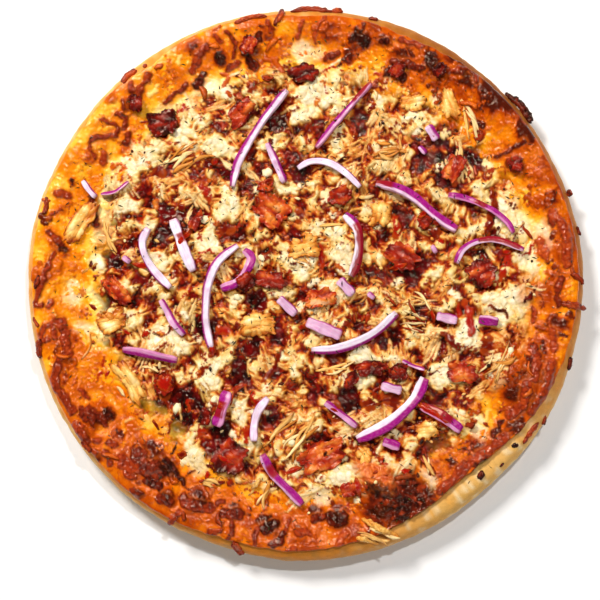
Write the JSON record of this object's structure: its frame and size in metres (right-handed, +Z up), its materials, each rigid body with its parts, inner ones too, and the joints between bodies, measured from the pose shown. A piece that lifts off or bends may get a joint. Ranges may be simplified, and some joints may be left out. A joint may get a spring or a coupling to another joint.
{
  "type": "pan pizza",
  "caption": "Whole round pan pizza: raised dough crust, melted cheese, shredded chicken, bacon scraps and red onion strips.",
  "frame": {"origin": "centre of the flat underside, on the surface that the pizza rests on", "axes": "+Z up through the pizza's thickness; +X to the pizza's right and +Y to its far side, as seen in the picture from above"},
  "size_m": [0.3023, 0.2989, 0.0255],
  "materials": {
    "baked_dough": "matte, baked, golden with browned flecks",
    "melted_cheese": "oily, melted, orange to cream with browned spots",
    "red_onion": "moist, magenta skin on pale flesh",
    "fried_bacon": "greasy, dark red with paler fat",
    "roast_chicken": "fibrous, golden with browned edges"
  },
  "bodies": {
    "root": {"crust": "baked_dough", "cheese": "melted_cheese", "onion_01": "red_onion", "onion_02": "red_onion", "onion_03": "red_onion", "onion_04": "red_onion", "onion_05": "red_onion", "onion_06": "red_onion", "onion_07": "red_onion", "onion_08": "red_onion", "onion_09": "red_onion", "onion_10": "red_onion", "onion_11": "red_onion", "onion_12": "red_onion", "onion_13": "red_onion", "onion_14": "red_onion", "onion_15": "red_onion", "onion_16": "red_onion", "onion_17": "red_onion", "onion_18": "red_onion", "onion_19": "red_onion", "onion_20": "red_onion", "onion_21": "red_onion", "onion_22": "red_onion", "onion_23": "red_onion", "onion_24": "red_onion", "onion_25": "red_onion", "onion_26": "red_onion", "onion_27": "red_onion", "onion_28": "red_onion", "onion_29": "red_onion", "bacon_01": "fried_bacon", "bacon_02": "fried_bacon", "bacon_03": "fried_bacon", "bacon_04": "fried_bacon", "bacon_05": "fried_bacon", "bacon_06": "fried_bacon", "bacon_07": "fried_bacon", "bacon_08": "fried_bacon", "bacon_09": "fried_bacon", "bacon_10": "fried_bacon", "bacon_11": "fried_bacon", "bacon_12": "fried_bacon", "bacon_13": "fried_bacon", "bacon_14": "fried_bacon", "bacon_15": "fried_bacon", "bacon_16": "fried_bacon", "bacon_17": "fried_bacon", "chicken_01": "roast_chicken", "chicken_02": "roast_chicken", "chicken_03": "roast_chicken", "chicken_04": "roast_chicken", "chicken_05": "roast_chicken", "chicken_06": "roast_chicken", "chicken_07": "roast_chicken", "chicken_08": "roast_chicken", "chicken_09": "roast_chicken", "chicken_10": "roast_chicken"}
  },
  "joints": []
}
